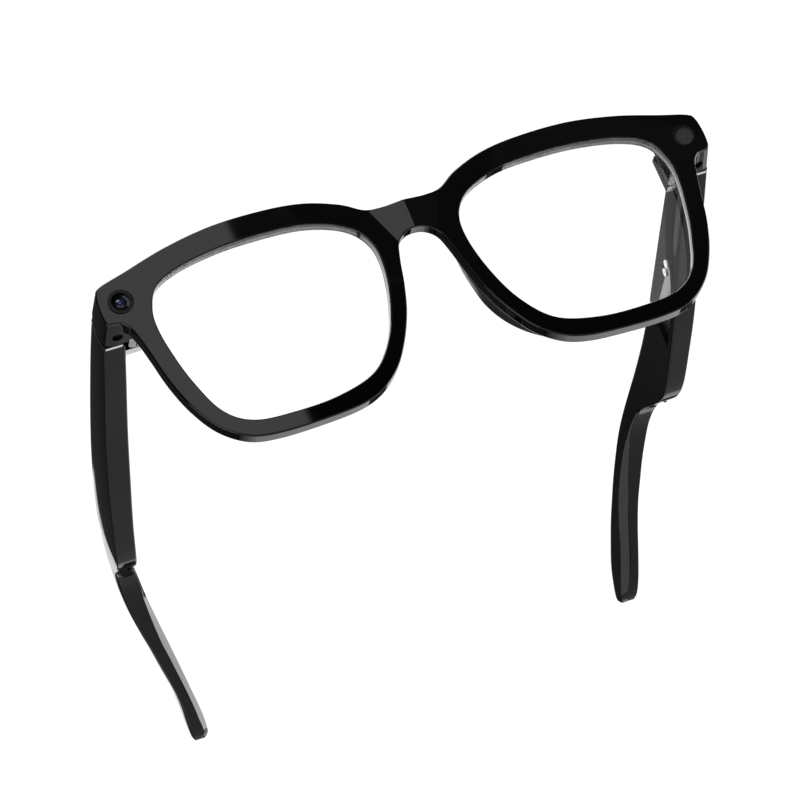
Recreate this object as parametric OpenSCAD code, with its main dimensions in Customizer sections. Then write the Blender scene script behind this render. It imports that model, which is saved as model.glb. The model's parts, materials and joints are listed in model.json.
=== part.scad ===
// Smart glasses. A full-rim front carries a camera in one endpiece and an
// indicator light in the other. Two folding temples hold the electronics.
// The wearer's right is at -X. The front faces -Y and the temples run to +Y.
// The glasses stand on the rims and the temple tips, with Z = 0 at the ground.

/* [Front] */
// Radius of the wrap of the front, seen from above
wrap_r = 730; // [600:10:1200]
// Thickness of the rims, front to back
rim_t = 4.2; // [4:0.1:4.6]
// Forward lean of the front on a flat surface, in degrees
front_tilt = 5.7; // [5.5:0.1:6.3]
// Depth of the endpieces, from the middle of the front to the temple joint
endpiece_depth = 11.2; // [11:0.1:11.6]

/* [Lenses] */
// Thickness of a lens
lens_t = 2; // [1.6:0.1:2.2]
// How far a lens lies behind the face of its rim
lens_inset = 1.5; // [1.3:0.1:1.6]
// Size of a lens compared with its opening
lens_overlap = 1.022; // [1.015:0.001:1.024]

/* [Camera and indicator] */
// Distance of the camera and the indicator from the middle
eye_x = 66; // [65.8:0.1:66.2]
// Height of the camera and the indicator above the middle of the lenses
eye_z = 17.8; // [17.6:0.1:18]
// Outer radius of the camera's trim ring
camera_r = 2.85; // [2.6:0.05:2.9]
// Outer radius of the indicator's trim ring
indicator_r = 2.6; // [2.3:0.05:2.7]

/* [Temples] */
// Gap between a temple and its endpiece
joint_gap = 0.3; // [0.25:0.05:0.4]
// Thickness of the metal plate at the front of a temple
plate_t = 1; // [0.8:0.1:1.2]
// Thickness of the inner cover of a temple
cover_t = 1.1; // [0.9:0.1:1.2]

/* [Hinges] */
// Distance of a hinge pin from the middle
pin_x = 63.6; // [63.5:0.1:63.7]
// Distance of a hinge pin behind the middle of the front
pin_y = 13.4; // [13.4:0.1:13.6]
// Radius of a hinge pin
pin_r = 0.8; // [0.7:0.05:0.9]
// Outer radius of the hinge knuckles
knuckle_r = 1.85; // [1.7:0.05:1.9]

/* [Capture button] */
// Length of the button along the temple
button_l = 6.8; // [6:0.1:7]
// Width of the button
button_w = 2.1; // [1.9:0.1:2.2]
// How far the button stands above the temple
button_proud = 0.4; // [0.3:0.05:0.5]

/* [Hidden] */

$fn = 48;
RIGHT = -1;
LEFT = 1;
eps = 0.01;
groove_room = 0.05;
back_y = endpiece_depth;
stand_y = -70;
stand_z = 22.26;
front_near = -2;
front_far = 9;
plate_y = back_y + joint_gap;
shell_y = plate_y + plate_t;
knuckle_low = 12.1;
knuckle_mid = 14.3;
knuckle_top = 18.3;
knuckle_end = 20.5;
knuckle_gap = 0.12;
bracket = [[61.8, knuckle_low], [65.45, knuckle_end]];
bracket_t = 0.75;
pin_clearance = 0.05;
temple_slope = 11.6;
button_at = [68.7, 28, 18.55];
port_at = [67.6, 88.2, -7.6];
contact_z = 8.1;
contact_y = [48, 50.9];
contact_r = 1;
board_x = 68.2;
mic_at = [68.3, 8.3];
mic_r = 1.2;

// Edge of the wearer's left lens opening, seen from the front
OPENING = [[60.7, 9.5], [60.1, 14.2], [57.5, 18.7], [51.5, 21.3], [42, 22.7], [32, 22.8],
           [22.5, 21.9], [14.6, 18.9], [10.6, 14.2], [9.9, 8], [11.6, -0.5], [15.2, -9],
           [21, -15.5], [30, -18.2], [40, -18.6], [49, -17.5], [54.6, -13.2], [58, -5],
           [59.9, 3]];
opening_mid = [35.3, 2.1];

// Outer edge of the wearer's left half of the front, from the top of the bridge
// round the endpiece to the underside of the bridge
HALF_EDGE = [[0, 20.9], [5, 20.8], [8.9, 21.5], [13.5, 24.4], [21, 27], [31, 28.1], [42, 28.2],
             [53, 26.7], [63, 24.2], [69, 22.7], [70.5, 21.2], [71, 17.5], [70.7, 14.1],
             [69.6, 13.4], [67.6, 12.9], [66.2, 11.2], [65.2, 8], [64.2, 3.5], [62.8, -3.2],
             [60.4, -10.2], [56.6, -16.6], [51, -20.9], [44, -22.3], [34, -22.4], [26, -21.8],
             [20.5, -19.9], [15.6, -15.9], [11.8, -10.2], [9, -4.2], [7.2, 1.8], [5.9, 7.4],
             [4.6, 11.3], [2.4, 13.3], [0, 13.8]];

// Cross-section of an endpiece behind the rim
ENDPIECE = [[61, 12.1], [70, 12.1], [70.9, 12.7], [71.4, 15], [71.6, 17], [71.3, 19.3],
            [70.5, 21], [69, 21.9], [61, 22.6]];

// The endpiece from the side, as depth and height
ENDPIECE_SIDE = [[3, 13.7], [back_y, 11.9], [back_y, 21.6], [3, 23]];

// Stations along a temple, front to tip: inner x, outer x at the lower edge and at
// the upper edge, depth and height of the lower edge and of the upper edge
STATIONS = [[66.2, 71.7, 71.5, shell_y, 11.9, shell_y, 21.3],
            [66.2, 71.9, 71.7, 24, 8.6, 25, 19.2],
            [66.2, 72.1, 71.8, 41, 3.9, 42, 15.9],
            [66.2, 72, 71.7, 57, -1.4, 58.5, 12.5],
            [66, 71.5, 71.2, 70, -5.3, 72, 9.5],
            [65.6, 70.9, 70.5, 80, -8.2, 82.5, 7.2],
            [65.1, 70.3, 69.8, 85.5, -8.6, 88, 5.7],
            [64.5, 69.6, 69.2, 90.5, -7.2, 93, 4.2],
            [63.5, 68.6, 68.3, 97, -5.1, 98.7, 2.1],
            [62.1, 67.4, 67.2, 103, -6, 104.8, -0.4],
            [60.9, 66.4, 66, 108, -8.2, 110.5, -2.9],
            [59.7, 65.2, 64.7, 112, -11, 115.8, -6.2],
            [58.4, 63.8, 62.9, 115.8, -14.6, 120.6, -9.9],
            [57.2, 62.2, 61.3, 119, -18.5, 125, -13.7],
            [56.1, 60.8, 59.7, 122, -22.8, 129.6, -17.5],
            [55.1, 59.5, 58, 124.8, -27.3, 133.6, -21.5],
            [54.1, 58.6, 57.2, 127.8, -31, 136.8, -25.6],
            [53.4, 58, 56.8, 130.8, -33.6, 139.1, -30.2],
            [53.2, 57.4, 56.4, 133.8, -35.4, 139.8, -33.4],
            [54, 56.7, 55.8, 136, -35.9, 138.8, -35]];

// A temple's cross-section: across from the inner face, and up from the lower edge
SECTION = [[0.14, 0], [0.85, 0], [0.92, 0.05], [0.98, 0.26], [1, 0.5], [0.98, 0.74],
           [0.88, 0.9], [0.68, 0.985], [0.46, 1], [0.24, 0.975], [0.07, 0.9], [0, 0.78],
           [0, 0.5], [0, 0.25], [0, 0.08]];

// Stations along a nose pad, top to bottom: across and height of its nasal edge at
// the rim and at the back, of its lens edge at the rim, and its depth
PAD = [[6.7, 10.9, 7.4, 11.1, 9.4, 11.6, 4.6],
       [6.4, 8.6, 7.6, 8.7, 9.5, 9, 6.8],
       [6.8, 4.5, 8, 4.6, 10, 5.1, 8.3],
       [7.9, -0.7, 8.9, -0.8, 11.2, -0.4, 8.7],
       [9.6, -5.4, 10, -5.5, 13.1, -4.9, 8.6],
       [12.4, -11, 12.5, -10.6, 15.9, -9.8, 8],
       [16.2, -16.1, 16.5, -15.4, 19.1, -13.5, 6.8],
       [21, -19.8, 21.5, -18.9, 22.9, -16.5, 5.4],
       [26.2, -21.5, 26.5, -20.6, 27.2, -18.1, 5]];

// Hollow of a temple, as depth and height
HOLLOW = [[16.5, 12.7], [16.5, 19.4], [30, 16.7], [45, 13.6], [60, 10.4], [67.5, 8.8],
          [68.5, -3.2], [57, 0.2], [41, 5.4], [24, 10.1]];
hollow_mid = [42, 9];
hollow_wall_x = 70.2;
part_x = 67.42;

// Route of the flexible circuit in the front, seen from the front
FLEX_HALF = [[0, 17.4], [5, 18], [9.5, 20.6], [16, 23.4], [24, 25], [34, 25.5], [45, 25.2],
             [55, 23.6], [63.5, 20.4]];
flex_w = 1.8;
flex_t = 0.3;
flex_depth = 2.2;
flex_room = 0.3;

// ---------- curves ----------

function curve_point(a, b, c, d, t) =
    0.5 * (2 * b + (c - a) * t + (2 * a - 5 * b + 4 * c - d) * t * t
           + (3 * b - a - 3 * c + d) * t * t * t);

// A closed smooth curve through the points, with steps segments to each
function closed_curve(p, steps) =
    let (n = len(p))
    [for (i = [0 : n - 1]) for (k = [0 : steps - 1])
        curve_point(p[(i + n - 1) % n], p[i], p[(i + 1) % n], p[(i + 2) % n], k / steps)];

// An open smooth curve through the points, with steps segments to each
function open_curve(p, steps) =
    let (last = len(p) - 1)
    concat([for (i = [0 : last - 1]) for (k = [0 : steps - 1])
        curve_point(p[max(i - 1, 0)], p[i], p[i + 1], p[min(i + 2, last)], k / steps)],
        [p[last]]);

function flip_x(p) = [for (i = [len(p) - 1 : -1 : 0]) [-p[i][0], p[i][1]]];

// Both halves of a curve whose ends lie on the middle plane
function whole_edge(half) =
    concat(half, [for (i = [len(half) - 2 : -1 : 1]) [-half[i][0], half[i][1]]]);

function scaled_about(p, mid, k) = [for (q = p) mid + (q - mid) * k];

// A band of width w along a route, measured up and down
function band(p, w) =
    concat([for (q = p) [q[0], q[1] + w / 2]],
        [for (i = [len(p) - 1 : -1 : 0]) [p[i][0], p[i][1] - w / 2]]);

// The contacts lie along the slope of the temple
function contact_height(y) = contact_z - 0.23 * (y - contact_y[0]);

function ring_at(s) =
    [for (q = SECTION)
        let (outer = s[1] + q[1] * (s[2] - s[1]))
        [s[0] + q[0] * (outer - s[0]), s[3] + q[1] * (s[5] - s[3]), s[4] + q[1] * (s[6] - s[4])]];

// Depth of the back of a rim, at x from the middle
function rim_back(x) = wrap_r - sqrt(pow(wrap_r - rim_t, 2) - x * x);

function pad_ring(s) =
    let (nasal = [s[0], s[1]], back = [s[2], s[3]], lens_side = [s[4], s[5]],
         edge = [[lens_side, 0], [back * 0.1 + lens_side * 0.9, 0.55],
                 [back * 0.35 + lens_side * 0.65, 0.93], [back * 0.6 + lens_side * 0.4, 1],
                 [back * 0.85 + lens_side * 0.15, 0.96], [back, 0.82],
                 [nasal * 0.4 + back * 0.6, 0.42], [nasal, 0]])
    [for (q = edge) let (y = rim_back(q[0][0]) + eps) [q[0][0], y + q[1] * (s[6] - y), q[0][1]]];

// ---------- building blocks ----------

// Stands the glasses on their rims and temple tips
module standing() {
    translate([0, stand_y, stand_z]) rotate([front_tilt, 0, 0]) children();
}

// Pieces are drawn for the wearer's left and mirrored for the right
module on_side(side) {
    standing() mirror([side == RIGHT ? 1 : 0, 0, 0]) children();
}

// A shape seen from the front, filled from depth y0 to depth y1
module slab(points, y0, y1) {
    translate([0, y1, 0]) rotate([90, 0, 0]) linear_extrude(height = y1 - y0) polygon(points);
}

// A shape seen from the side, filled from x0 to x1
module side_slab(points, x0, x1) {
    translate([x0, 0, 0]) rotate([90, 0, 90]) linear_extrude(height = x1 - x0) polygon(points);
}

// Everything more than inset behind the wrapped face of the front
module behind_face(inset) {
    translate([0, wrap_r, -40]) cylinder(r = wrap_r - inset, h = 80, $fn = 2880);
}

// A box from one corner to the other
module block(low, high) {
    translate(low) cube(high - low);
}

// A cylinder along Y
module rod_y(x, z, r, y0, y1) {
    translate([x, y1, z]) rotate([90, 0, 0]) cylinder(r = r, h = y1 - y0);
}

// A cylinder along X
module rod_x(y, z, r, x0, x1) {
    translate([x0, y, z]) rotate([0, 90, 0]) cylinder(r = r, h = x1 - x0);
}

// A cylinder along a hinge's axis
module at_pin(r, z0, z1) {
    translate([pin_x, pin_y, z0]) cylinder(r = r, h = z1 - z0);
}

// A long hole's shape along Y, with round ends
module slot_shape(w, l, h) {
    linear_extrude(height = h) {
        translate([0, l / 2 - w / 2]) circle(d = w);
        translate([0, w / 2 - l / 2]) circle(d = w);
        square([w, l - w], center = true);
    }
}

// A closed skin through rings of equal numbers of points
module skin(rings) {
    n = len(rings[0]);
    m = len(rings);
    sides = [for (i = [0 : m - 2]) for (k = [0 : n - 1]) for (half = [0, 1])
        half == 0 ? [i * n + k, i * n + (k + 1) % n, (i + 1) * n + k]
                  : [i * n + (k + 1) % n, (i + 1) * n + (k + 1) % n, (i + 1) * n + k]];
    last = (m - 1) * n;
    caps = [for (k = [1 : n - 2]) each [[0, k + 1, k], [last, last + k, last + k + 1]]];
    polyhedron(points = [for (r = rings) each r], faces = concat(sides, caps));
}

module at_button() {
    translate(button_at) rotate([-temple_slope, 0, 0]) children();
}

// ---------- front ----------

module opening_cut() {
    slab(closed_curve(OPENING, 4), front_near, front_far);
}

module lens_groove() {
    difference() {
        intersection() {
            slab(scaled_about(closed_curve(OPENING, 4), opening_mid, lens_overlap + 0.004),
                 front_near, front_far);
            behind_face(lens_inset - groove_room);
        }
        behind_face(lens_inset + lens_t + groove_room);
    }
}

module endpiece() {
    intersection() {
        slab(ENDPIECE, 2, back_y);
        side_slab(ENDPIECE_SIDE, 60, 72);
        behind_face(0.4);
    }
}

module endpiece_hollow() {
    block([62.4, 5.4, 13.5], [69.7, back_y - 1.5, 20.6]);
    block([62, back_y - 1.5, 13.1], [70.1, back_y + 1, 20.9]);
    block([bracket[0][0] - 0.05, back_y - bracket_t - 0.05, 11],
          [bracket[1][0] + 0.05, back_y + 1, bracket[1][1] + 0.05]);
    translate([mic_at[0], mic_at[1], 11]) cylinder(r = mic_r, h = 3);
}

module front_frame() {
    color("#0c0c0d") standing() difference() {
        union() {
            intersection() {
                slab(closed_curve(whole_edge(HALF_EDGE), 2), front_near, front_far);
                difference() {
                    behind_face(0);
                    behind_face(rim_t);
                }
            }
            for (side = [RIGHT, LEFT]) mirror([side == RIGHT ? 1 : 0, 0, 0]) endpiece();
        }
        for (side = [RIGHT, LEFT]) mirror([side == RIGHT ? 1 : 0, 0, 0]) {
            opening_cut();
            lens_groove();
            endpiece_hollow();
        }
        rod_y(-eye_x, eye_z, camera_r, 1, 6);
        rod_y(eye_x, eye_z, indicator_r, 1, 6);
        flex_channel();
    }
}

// A layer of the front that follows the flexible circuit's route on one side
module flex_layer(w, near, far) {
    difference() {
        intersection() {
            slab(band(open_curve(FLEX_HALF, 3), w), front_near, front_far);
            behind_face(near);
        }
        behind_face(far);
    }
}

module flex_channel() {
    for (side = [RIGHT, LEFT]) mirror([side == RIGHT ? 1 : 0, 0, 0])
        flex_layer(flex_w + 2 * flex_room, flex_depth - flex_room, flex_depth + flex_t + flex_room);
}

module front_flex() {
    color("#b5651d") standing() for (side = [RIGHT, LEFT]) mirror([side == RIGHT ? 1 : 0, 0, 0])
        flex_layer(flex_w, flex_depth, flex_depth + flex_t);
}

module lens(side) {
    color("#e8eef2", 0.35) on_side(side) difference() {
        intersection() {
            slab(scaled_about(closed_curve(OPENING, 4), opening_mid, lens_overlap),
                 front_near, front_far);
            behind_face(lens_inset);
        }
        behind_face(lens_inset + lens_t);
    }
}

// A nose pad widens backwards from the inner side of its rim
module nose_pad(side) {
    color("#161617") on_side(side) skin([for (s = open_curve(PAD, 2)) pad_ring(s)]);
}

module endpiece_cover(side) {
    color("#101011") on_side(side) difference() {
        block([62.1, back_y - 1.45, 13.2], [70, back_y, 20.8]);
        block([61, back_y - bracket_t - 0.05, 12], [bracket[1][0] + 0.1, back_y + 1, 21]);
    }
}

module microphone(side) {
    color("#202224") on_side(side) {
        translate([mic_at[0], mic_at[1], 12.95]) cylinder(r = mic_r - 0.05, h = 0.3);
        block([67.2, 6, 13.55], [69.6, 9.2, 14.5]);
    }
}

// ---------- camera and indicator ----------

module camera_trim() {
    color("#1b1d1f") on_side(RIGHT) difference() {
        rod_y(eye_x, eye_z, camera_r - 0.02, 2.8, 5.3);
        rod_y(eye_x, eye_z, camera_r - 0.75, 2, 3.6);
        rod_y(eye_x, eye_z, camera_r - 1.15, 3, 6);
    }
}

module camera_window() {
    color("#141c33") on_side(RIGHT) intersection() {
        rod_y(eye_x, eye_z, camera_r - 0.77, 2.6, 3.6);
        translate([eye_x, 11, eye_z]) sphere(r = 8, $fn = 240);
    }
}

module camera_barrel() {
    color("#2b2d30") on_side(RIGHT) difference() {
        rod_y(eye_x, eye_z, camera_r - 1.2, 3.65, 5.9);
        rod_y(eye_x, eye_z, 0.9, 3, 4.6);
    }
}

module camera_module() {
    color("#3a3d40") on_side(RIGHT) {
        block([62.7, 5.95, 14.75], [69.3, 8.6, 20.5]);
        block([62.5, 8.65, 14.75], [69.5, 9.3, 20.5]);
    }
}

module indicator_trim() {
    color("#55585b") on_side(LEFT) difference() {
        rod_y(eye_x, eye_z, indicator_r - 0.02, 2.85, 5.3);
        rod_y(eye_x, eye_z, indicator_r - 0.4, 2, 6);
    }
}

module indicator_window() {
    color("#7a7d80") on_side(LEFT) {
        rod_y(eye_x, eye_z, indicator_r - 0.42, 3.05, 4.2);
        rod_y(eye_x, eye_z, indicator_r - 1, 4.2 - eps, 6.4);
    }
}

module indicator_board() {
    color("#1f6b3a") on_side(LEFT) {
        block([62.7, 7.3, 14.75], [69.4, 8, 20.4]);
        block([65.2, 6.5, 17], [66.8, 7.3 + eps, 18.6]);
    }
}

// ---------- hinges ----------

module hinge_bracket(side) {
    color("#c9cbce") on_side(side) difference() {
        union() {
            block([bracket[0][0], back_y - bracket_t, bracket[0][1]],
                  [bracket[1][0], back_y + 0.15, bracket[1][1]]);
            for (z = [[knuckle_low, knuckle_mid], [knuckle_top, knuckle_end]]) {
                at_pin(knuckle_r, z[0], z[1]);
                block([pin_x - knuckle_r, back_y, z[0]], [pin_x + knuckle_r, pin_y, z[1]]);
            }
        }
        at_pin(pin_r + 0.02, 11, 22);
        at_pin(1.42, 11, knuckle_low + 0.8);
    }
}

module hinge_screw(side) {
    color("#d8dadc") on_side(side) difference() {
        union() {
            at_pin(pin_r, knuckle_low + 0.5, knuckle_end - 0.2);
            at_pin(1.4, knuckle_low - 0.05, knuckle_low + 0.75);
        }
        translate([pin_x - 0.15, pin_y - 2, knuckle_low - 0.1]) cube([0.3, 4, 0.4]);
    }
}

// The plate is the metal end of a temple. Its arm carries the middle knuckle, and
// its leaf lies on the temple's inner face.
module end_plate(side) {
    front = STATIONS[0];
    face = [for (p = ring_at(front)) [p[0], p[2]]];
    inner_x = front[0] - eps;
    leaf_y = pin_y + 2.2;
    low = knuckle_mid + knuckle_gap;
    high = knuckle_top - knuckle_gap;
    color("#dfe1e3") on_side(side) difference() {
        union() {
            slab(face, plate_y, shell_y);
            at_pin(knuckle_r, low, high);
            block([inner_x - 0.3, plate_y, low], [inner_x + 0.4, shell_y, high]);
            block([pin_x, pin_y - 1.2, low], [inner_x, pin_y + knuckle_r, high]);
            block([pin_x - 0.4, pin_y + 1, low], [inner_x, leaf_y + 0.1, high]);
            block([pin_x - 1.4, leaf_y, knuckle_low], [inner_x, leaf_y + 2.4, knuckle_end - 0.2]);
            block([inner_x - 0.9, leaf_y + 2.3, knuckle_low + 0.5],
                  [inner_x, leaf_y + 5.8, knuckle_end - 0.7]);
        }
        at_pin(pin_r + pin_clearance, 11, 22);
    }
}

// ---------- temples ----------

module temple_shell(side) {
    color("#111113") on_side(side) difference() {
        skin([for (s = open_curve(STATIONS, 2)) ring_at(s)]);
        side_slab(HOLLOW, 60, hollow_wall_x);
        translate(port_at) rotate([-58, 0, 0]) slot_shape(0.9, 1.8, 3);
        if (side == RIGHT) at_button() translate([0, 0, -2.5])
            slot_shape(button_w + 0.4, button_l + 0.4, 4);
    }
}

module inner_cover(side) {
    x0 = STATIONS[0][0];
    color("#18181a") on_side(side) difference() {
        side_slab(scaled_about(HOLLOW, hollow_mid, 0.992), x0, x0 + cover_t);
        if (side == LEFT) for (y = contact_y)
            rod_x(y, contact_height(y), contact_r + 0.02, x0 - 1, x0 + 3);
    }
}

// The round of a wire of radius r where it passes from a through p to b
function wire_ring(a, p, b, r) =
    let (t = (b - a) / norm(b - a), u = cross(t, [1, 0, 0]) / norm(cross(t, [1, 0, 0])),
         v = cross(t, u))
    [for (k = [0 : 7]) p + r * (cos(45 * k) * u + sin(45 * k) * v)];

module core_wire(side) {
    route = [for (i = [8 : 17]) STATIONS[i]];
    mids = open_curve([for (s = route) [s[0] + s[2], s[3] + s[5], s[4] + s[6]] / 2], 2);
    last = len(mids) - 1;
    color("#b9bcc0") on_side(side)
        skin([for (i = [0 : last])
            wire_ring(mids[max(i - 1, 0)], mids[i], mids[min(i + 1, last)], 0.8)]);
}

module battery(side) {
    at = side == RIGHT ? [part_x, 36, 8.4] : [part_x, 18.5, 12.6];
    color("#b7bcc2") on_side(side) translate(at) rotate([-16, 0, 0]) cube([2.4, 24.5, 5.4]);
}

module speaker(side) {
    color("#26292c") on_side(side) difference() {
        translate([part_x, 60, -0.3]) rotate([-14, 0, 0]) cube([2.4, 5.6, 7.4]);
        rod_x(63.6, 2.6, 1.9, 69.3, 71);
    }
}

module speaker_port(side) {
    color("#050506") on_side(side)
        translate(port_at) rotate([-58, 0, 0]) translate([0, 0, 0.9]) slot_shape(0.86, 1.76, 0.5);
}

module main_board() {
    color("#1f6b3a") on_side(RIGHT) difference() {
        side_slab([[17.2, 13], [17.2, 15.8], [34, 12.4], [34, 8.4], [24, 11]],
                  part_x, part_x + 0.6);
        rod_x(19.2, 14, 0.5, 67, 69);
    }
}

module processor_shield() {
    color("#c4c7ca") on_side(RIGHT)
        translate([part_x + 0.62, 24, 11.4]) rotate([-12, 0, 0]) cube([1.5, 8, 2.4]);
}

module button_switch() {
    color("#8f9396") on_side(RIGHT) at_button() {
        translate([-1.1, -1.8, -4.35]) cube([2.2, 3.6, 1.2]);
        translate([0, 0, -3.2]) cylinder(r = 0.55, h = 0.35);
    }
}

module capture_button() {
    color("#1c1c1e") on_side(RIGHT) at_button() {
        translate([0, 0, -1.65]) slot_shape(button_w, button_l, 1.65 + button_proud);
        translate([0, 0, -2.15]) slot_shape(button_w + 0.2, button_l + 1, 0.5);
    }
}

module touch_flex() {
    color("#b5651d") on_side(RIGHT)
        side_slab([[36.5, 7.4], [64, -0.3], [66.5, -0.8], [66.5, 1], [64, 1.6], [36.5, 8.2]],
                  hollow_wall_x - 0.3, hollow_wall_x - 0.1);
}

module charge_board() {
    color("#1f6b3a") on_side(LEFT)
        side_slab([[45.6, 5.6], [45.6, 11.6], [55.6, 9.4], [55.6, 2.8]], board_x, board_x + 0.6);
}

// A charging contact is a stepped pin with a flat polished face
module charge_contact(y) {
    z = contact_height(y);
    x0 = STATIONS[0][0];
    color("#f4f4f2") on_side(LEFT) {
        rod_x(y, z, contact_r, x0 - 0.08, x0 + 1.2);
        rod_x(y, z, 0.55, x0 + 1.2 - eps, board_x);
    }
}

module charge_magnet() {
    color("#9da1a5") on_side(LEFT)
        translate([part_x, 56.6, 2.2]) rotate([-14, 0, 0]) cube([2.4, 2.2, 6]);
}

// ---------- nodes ----------

front_frame();
lens(RIGHT);  // lens_right
lens(LEFT);  // lens_left
nose_pad(RIGHT);  // nose_pad_right
nose_pad(LEFT);  // nose_pad_left
endpiece_cover(RIGHT);  // endpiece_cover_right
endpiece_cover(LEFT);  // endpiece_cover_left
microphone(RIGHT);  // microphone_right
microphone(LEFT);  // microphone_left
front_flex();
camera_trim();
camera_window();
camera_barrel();
camera_module();
indicator_trim();
indicator_window();
indicator_board();
hinge_bracket(RIGHT);  // hinge_bracket_right
hinge_bracket(LEFT);  // hinge_bracket_left
hinge_screw(RIGHT);  // hinge_screw_right
hinge_screw(LEFT);  // hinge_screw_left
temple_shell(RIGHT);  // temple_shell_right
temple_shell(LEFT);  // temple_shell_left
inner_cover(RIGHT);  // inner_cover_right
inner_cover(LEFT);  // inner_cover_left
end_plate(RIGHT);  // end_plate_right
end_plate(LEFT);  // end_plate_left
core_wire(RIGHT);  // core_wire_right
core_wire(LEFT);  // core_wire_left
battery(RIGHT);  // battery_right
battery(LEFT);  // battery_left
speaker(RIGHT);  // speaker_right
speaker(LEFT);  // speaker_left
speaker_port(RIGHT);  // speaker_port_right
speaker_port(LEFT);  // speaker_port_left
main_board();
processor_shield();
button_switch();
capture_button();
touch_flex();
charge_board();
charge_contact(contact_y[0]);  // charge_contact_front
charge_contact(contact_y[1]);  // charge_contact_rear
charge_magnet();
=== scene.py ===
"""The looks of the smart glasses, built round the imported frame.

Lengths are in millimetres in the front's own frame: X to the wearer's left, Y from the
face of the front back along the temples, Z up the front. TO_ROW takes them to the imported
frame, in metres."""
import json
import math

import bmesh
import bpy
from mathutils import Matrix, Vector
from mathutils.kdtree import KDTree


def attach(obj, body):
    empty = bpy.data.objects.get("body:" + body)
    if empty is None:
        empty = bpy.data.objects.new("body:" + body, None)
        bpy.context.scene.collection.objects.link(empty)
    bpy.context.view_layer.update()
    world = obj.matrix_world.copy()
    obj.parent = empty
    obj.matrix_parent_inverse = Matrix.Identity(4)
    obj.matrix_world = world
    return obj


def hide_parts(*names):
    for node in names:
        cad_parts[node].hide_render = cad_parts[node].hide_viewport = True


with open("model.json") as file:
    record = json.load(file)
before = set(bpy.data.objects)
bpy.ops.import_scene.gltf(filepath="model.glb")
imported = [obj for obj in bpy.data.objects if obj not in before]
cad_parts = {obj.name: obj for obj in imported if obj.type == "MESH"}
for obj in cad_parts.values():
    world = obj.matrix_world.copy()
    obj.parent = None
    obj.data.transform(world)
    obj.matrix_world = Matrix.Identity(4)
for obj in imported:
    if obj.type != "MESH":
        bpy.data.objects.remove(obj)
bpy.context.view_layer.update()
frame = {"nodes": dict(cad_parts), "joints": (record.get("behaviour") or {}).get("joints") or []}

# ---------- the front's frame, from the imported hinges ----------

HINGE_PIN = Vector((63.6, 13.4, 16.3))
hinge = next(j for j in frame["joints"] if j["name"] == "temple_fold_left")
TILT = math.atan2(-hinge["axis"][1], hinge["axis"][2])
TURN = Matrix.Rotation(TILT, 4, "X")
STAND = Vector(hinge["pos_m"]) - (TURN @ HINGE_PIN) * 0.001
TO_ROW = Matrix.Translation(STAND) @ TURN @ Matrix.Scale(0.001, 4)

WRAP_R = 730.0                     # radius of the wrapped face of the front
RIM_T = 4.2                        # thickness of the rims
BACK_Y = 11.2                      # depth of the rear of the endpieces
INNER_X = 66.2                     # inner faces of the temples, across from the middle
LENS_INSET, LENS_T = 1.5, 2.0      # the lens behind the face of the front, and its thickness

OPENING = [(60.7, 9.5), (60.1, 14.2), (57.5, 18.7), (51.5, 21.3), (42, 22.7), (32, 22.8),
           (22.5, 21.9), (14.6, 18.9), (10.6, 14.2), (9.9, 8), (11.6, -0.5), (15.2, -9),
           (21, -15.5), (30, -18.2), (40, -18.6), (49, -17.5), (54.6, -13.2), (58, -5),
           (59.9, 3)]
OPENING_MID = Vector((35.3, 2.1))

# The outer edge of half the front, with the place on the opening that each point faces
HALF_EDGE = [(0, 20.9), (5, 20.8), (8.9, 21.5), (13.5, 24.4), (21, 27), (31, 28.1), (42, 28.2),
             (53, 26.7), (63, 24.2), (69, 22.7), (70.5, 21.2), (71, 17.5), (70.7, 14.1),
             (69.6, 13.4), (67.6, 12.9), (66.2, 11.2), (65.2, 8), (64.2, 3.5), (62.8, -3.2),
             (60.4, -10.2), (56.6, -16.6), (51, -20.9), (44, -22.3), (34, -22.4), (26, -21.8),
             (20.5, -19.9), (15.6, -15.9), (11.8, -10.2), (9, -4.2), (7.2, 1.8), (5.9, 7.4),
             (4.6, 11.3), (2.4, 13.3), (0, 13.8)]
FACING = [7.6, 7.45, 7.25, 6.8, 6.1, 5.1, 4.0, 3.0, 2.2, 1.75, 1.55, 1.15, 0.75, 0.6, 0.45, 0.2,
          -0.25, -0.95, -1.8, -2.6, -3.3, -4.0, -4.6, -5.6, -6.4, -7.0, -7.6, -8.15, -8.65,
          -9.3, -9.9, -10.3, -10.5, -10.7]

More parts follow.
